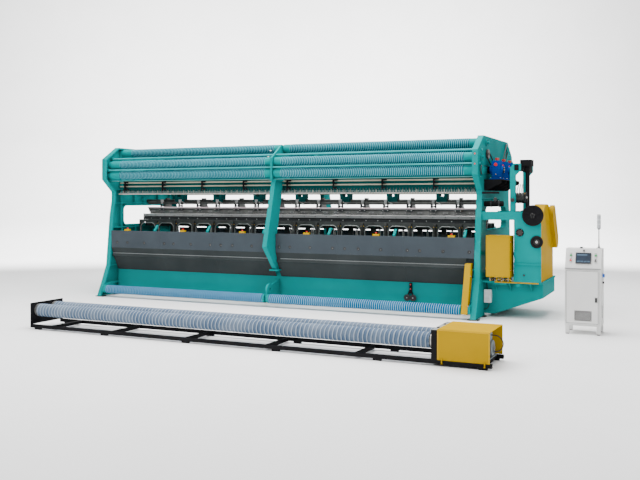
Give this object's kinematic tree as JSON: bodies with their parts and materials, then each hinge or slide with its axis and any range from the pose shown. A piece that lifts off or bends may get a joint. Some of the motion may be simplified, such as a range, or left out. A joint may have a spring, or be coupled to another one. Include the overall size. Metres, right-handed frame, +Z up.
{
  "type": "warp knitting machine with winder and control cabinet",
  "caption": "Wide warp knitting machine for nets, with let-off rollers, hinged guide bar carriage, drive end, floor winder and control cabinet.",
  "frame": {"origin": "floor level, under the middle of the whole installation's bounding box", "axes": "+X along the machine towards its drive end, +Y to the rear, +Z up"},
  "size_m": [10.194, 6.963, 3.16],
  "materials": {
    "teal_paint": "gloss enamel",
    "guard_grey": "satin enamel",
    "yellow_paint": "gloss enamel",
    "black_paint": "satin enamel",
    "bed_grey": "machined and oiled",
    "bright_steel": "ground",
    "roller_cover": "wrapped film",
    "gearbox_blue": "gloss enamel",
    "button_red": "gloss",
    "button_green": "gloss",
    "black_plastic": "matte",
    "cable_black": "matte",
    "cabinet_grey": "fine textured enamel",
    "box_white": "moulded",
    "motor_grey": "satin enamel"
  },
  "bodies": {
    "root": {"left_end_frame": "teal_paint", "right_end_frame": "teal_paint", "levelling_feet": "teal_paint", "base_beams": "teal_paint", "crossbeams": "teal_paint", "centre_columns": "teal_paint", "guard_panels": "guard_grey", "guard_skirts": "guard_grey", "needle_bed": "bed_grey", "bed_fittings": "bright_steel", "carriage_hangers": "teal_paint", "yarn_hooks": "black_paint", "yarn_rods": "bright_steel", "take_down_bearings": "teal_paint", "chain_guard": "yellow_paint", "drive_platform": "teal_paint", "drive_case": "teal_paint", "belt_guards": "yellow_paint", "pattern_unit": "black_paint", "gearbox_bracket": "black_paint", "speed_gearboxes": "gearbox_blue", "side_cover": "yellow_paint", "terminal_box": "box_white", "cables": "cable_black", "stop_boxes": "yellow_paint", "winder_frame": "black_paint", "winder_cover": "yellow_paint", "winder_drive": "motor_grey", "cabinet_shell": "cabinet_grey", "cabinet_fittings": "cabinet_grey"},
    "front_upper_roller": {"front_upper_roller": "roller_cover"},
    "front_middle_roller": {"front_middle_roller": "roller_cover"},
    "front_lower_roller": {"front_lower_roller": "roller_cover"},
    "rear_upper_roller": {"rear_upper_roller": "roller_cover"},
    "rear_middle_roller": {"rear_middle_roller": "roller_cover"},
    "rear_lower_roller": {"rear_lower_roller": "roller_cover"},
    "belt_idler": {"belt_idler": "black_paint"},
    "take_down_roller": {"take_down_roller": "roller_cover"},
    "handwheel": {"handwheel": "black_paint"},
    "main_shaft": {"main_shaft": "bright_steel"},
    "front_needle_bar": {"front_needle_bar": "bright_steel"},
    "rear_needle_bar": {"rear_needle_bar": "bright_steel"},
    "swing_carriage": {"swing_carriage": "bright_steel"},
    "guide_bar_1": {"guide_bar_1": "bright_steel"},
    "guide_bar_2": {"guide_bar_2": "bright_steel"},
    "guide_bar_3": {"guide_bar_3": "bright_steel"},
    "guide_bar_4": {"guide_bar_4": "bright_steel"},
    "guard_button_1": {"guard_button_1": "button_red"},
    "guard_button_2": {"guard_button_2": "button_red"},
    "guard_button_3": {"guard_button_3": "button_red"},
    "guard_button_4": {"guard_button_4": "button_red"},
    "guard_button_5": {"guard_button_5": "button_red"},
    "guard_button_6": {"guard_button_6": "button_red"},
    "winder_front_roller": {"winder_front_roller": "roller_cover"},
    "winder_rear_roller": {"winder_rear_roller": "roller_cover"},
    "cabinet_door": {"cabinet_door": "cabinet_grey"},
    "door_latch": {"door_latch": "black_plastic"},
    "start_button": {"start_button": "button_green"},
    "stop_button": {"stop_button": "button_red"},
    "mode_switch": {"mode_switch": "black_plastic"}
  },
  "joints": [
    {"name": "front_upper_roller_turn", "type": "hinge", "parent": "root", "child": "front_upper_roller", "pos_m": [-1.012, 1.0615, 3.04], "axis": [1, 0, 0], "continuous": true},
    {"name": "front_middle_roller_turn", "type": "hinge", "parent": "root", "child": "front_middle_roller", "pos_m": [-1.012, 0.6765, 2.772], "axis": [1, 0, 0], "continuous": true},
    {"name": "front_lower_roller_turn", "type": "hinge", "parent": "root", "child": "front_lower_roller", "pos_m": [-1.012, 0.6565, 2.55], "axis": [1, 0, 0], "continuous": true},
    {"name": "rear_upper_roller_turn", "type": "hinge", "parent": "root", "child": "rear_upper_roller", "pos_m": [-1.012, 2.7015, 3.04], "axis": [1, 0, 0], "continuous": true},
    {"name": "rear_middle_roller_turn", "type": "hinge", "parent": "root", "child": "rear_middle_roller", "pos_m": [-1.012, 3.0865, 2.772], "axis": [1, 0, 0], "continuous": true},
    {"name": "rear_lower_roller_turn", "type": "hinge", "parent": "root", "child": "rear_lower_roller", "pos_m": [-1.012, 3.1065, 2.55], "axis": [1, 0, 0], "continuous": true},
    {"name": "belt_idler_turn", "type": "hinge", "parent": "root", "child": "belt_idler", "pos_m": [3.043, 1.0915, 2.84], "axis": [1, 0, 0], "continuous": true},
    {"name": "take_down_roller_turn", "type": "hinge", "parent": "root", "child": "take_down_roller", "pos_m": [-1.012, 0.3815, 0.162], "axis": [1, 0, 0], "continuous": true},
    {"name": "handwheel_turn", "type": "hinge", "parent": "root", "child": "handwheel", "pos_m": [3.883, 0.7315, 1.77], "axis": [0, 1, 0], "continuous": true},
    {"name": "main_shaft_turn", "type": "hinge", "parent": "root", "child": "main_shaft", "pos_m": [-1.012, 1.8815, 1.04], "axis": [1, 0, 0], "continuous": true},
    {"name": "front_needle_bar_lift", "type": "slide", "parent": "root", "child": "front_needle_bar", "axis": [0, 0, 1], "range_m": [-0.009, 0.009], "stiffness_N_per_m": 400000},
    {"name": "rear_needle_bar_lift", "type": "slide", "parent": "root", "child": "rear_needle_bar", "axis": [0, 0, 1], "range_m": [-0.009, 0.009], "stiffness_N_per_m": 400000},
    {"name": "carriage_swing", "type": "hinge", "parent": "root", "child": "swing_carriage", "pos_m": [-1.012, 1.8815, 2.01], "axis": [1, 0, 0], "range_deg": [-8, 8], "stiffness_Nm_per_rad": 40000},
    {"name": "guide_bar_1_shog", "type": "slide", "parent": "swing_carriage", "child": "guide_bar_1", "axis": [1, 0, 0], "range_m": [-0.015, 0.015], "stiffness_N_per_m": 20000},
    {"name": "guide_bar_2_shog", "type": "slide", "parent": "swing_carriage", "child": "guide_bar_2", "axis": [1, 0, 0], "range_m": [-0.015, 0.015], "stiffness_N_per_m": 20000},
    {"name": "guide_bar_3_shog", "type": "slide", "parent": "swing_carriage", "child": "guide_bar_3", "axis": [1, 0, 0], "range_m": [-0.015, 0.015], "stiffness_N_per_m": 20000},
    {"name": "guide_bar_4_shog", "type": "slide", "parent": "swing_carriage", "child": "guide_bar_4", "axis": [1, 0, 0], "range_m": [-0.015, 0.015], "stiffness_N_per_m": 20000},
    {"name": "guard_button_1_press", "type": "slide", "parent": "root", "child": "guard_button_1", "axis": [0, 0, -1], "range_m": [0, 0.006], "stiffness_N_per_m": 1500},
    {"name": "guard_button_2_press", "type": "slide", "parent": "root", "child": "guard_button_2", "axis": [0, 0, -1], "range_m": [0, 0.006], "stiffness_N_per_m": 1500},
    {"name": "guard_button_3_press", "type": "slide", "parent": "root", "child": "guard_button_3", "axis": [0, 0, -1], "range_m": [0, 0.006], "stiffness_N_per_m": 1500},
    {"name": "guard_button_4_press", "type": "slide", "parent": "root", "child": "guard_button_4", "axis": [0, 0, -1], "range_m": [0, 0.006], "stiffness_N_per_m": 1500},
    {"name": "guard_button_5_press", "type": "slide", "parent": "root", "child": "guard_button_5", "axis": [0, 0, -1], "range_m": [0, 0.006], "stiffness_N_per_m": 1500},
    {"name": "guard_button_6_press", "type": "slide", "parent": "root", "child": "guard_button_6", "axis": [0, 0, -1], "range_m": [0, 0.006], "stiffness_N_per_m": 1500},
    {"name": "winder_front_roller_turn", "type": "hinge", "parent": "root", "child": "winder_front_roller", "pos_m": [-0.137, -3.2935, 0.285], "axis": [1, 0, 0], "continuous": true},
    {"name": "winder_rear_roller_turn", "type": "hinge", "parent": "root", "child": "winder_rear_roller", "pos_m": [-0.137, -2.9385, 0.285], "axis": [1, 0, 0], "continuous": true},
    {"name": "cabinet_door_swing", "type": "hinge", "parent": "root", "child": "cabinet_door", "pos_m": [4.561, -0.3381, 0.23], "axis": [0, 0, -1], "range_deg": [0, 110]},
    {"name": "door_latch_turn", "type": "hinge", "parent": "cabinet_door", "child": "door_latch", "pos_m": [4.997, -0.3291, 0.5302], "axis": [0, 1, 0], "range_deg": [0, 90]},
    {"name": "start_button_press", "type": "slide", "parent": "root", "child": "start_button", "axis": [0, 0.9066, -0.422], "range_m": [0, 0.005], "stiffness_N_per_m": 900},
    {"name": "stop_button_press", "type": "slide", "parent": "root", "child": "stop_button", "axis": [0, 0.9066, -0.422], "range_m": [0, 0.005], "stiffness_N_per_m": 900},
    {"name": "mode_switch_turn", "type": "hinge", "parent": "root", "child": "mode_switch", "pos_m": [4.983, -0.27786, 1.10879], "axis": [0, -0.9066, 0.422], "range_deg": [-45, 45]}
  ],
  "couplings": [
    {"joint": "front_middle_roller_turn", "follows": "front_lower_roller_turn", "ratio": -1},
    {"joint": "front_upper_roller_turn", "follows": "front_lower_roller_turn", "ratio": 1},
    {"joint": "belt_idler_turn", "follows": "front_lower_roller_turn", "ratio": 1},
    {"joint": "rear_middle_roller_turn", "follows": "rear_upper_roller_turn", "ratio": -1},
    {"joint": "rear_lower_roller_turn", "follows": "rear_upper_roller_turn", "ratio": 1},
    {"joint": "main_shaft_turn", "follows": "handwheel_turn", "ratio": 1},
    {"joint": "winder_rear_roller_turn", "follows": "winder_front_roller_turn", "ratio": 1}
  ]
}
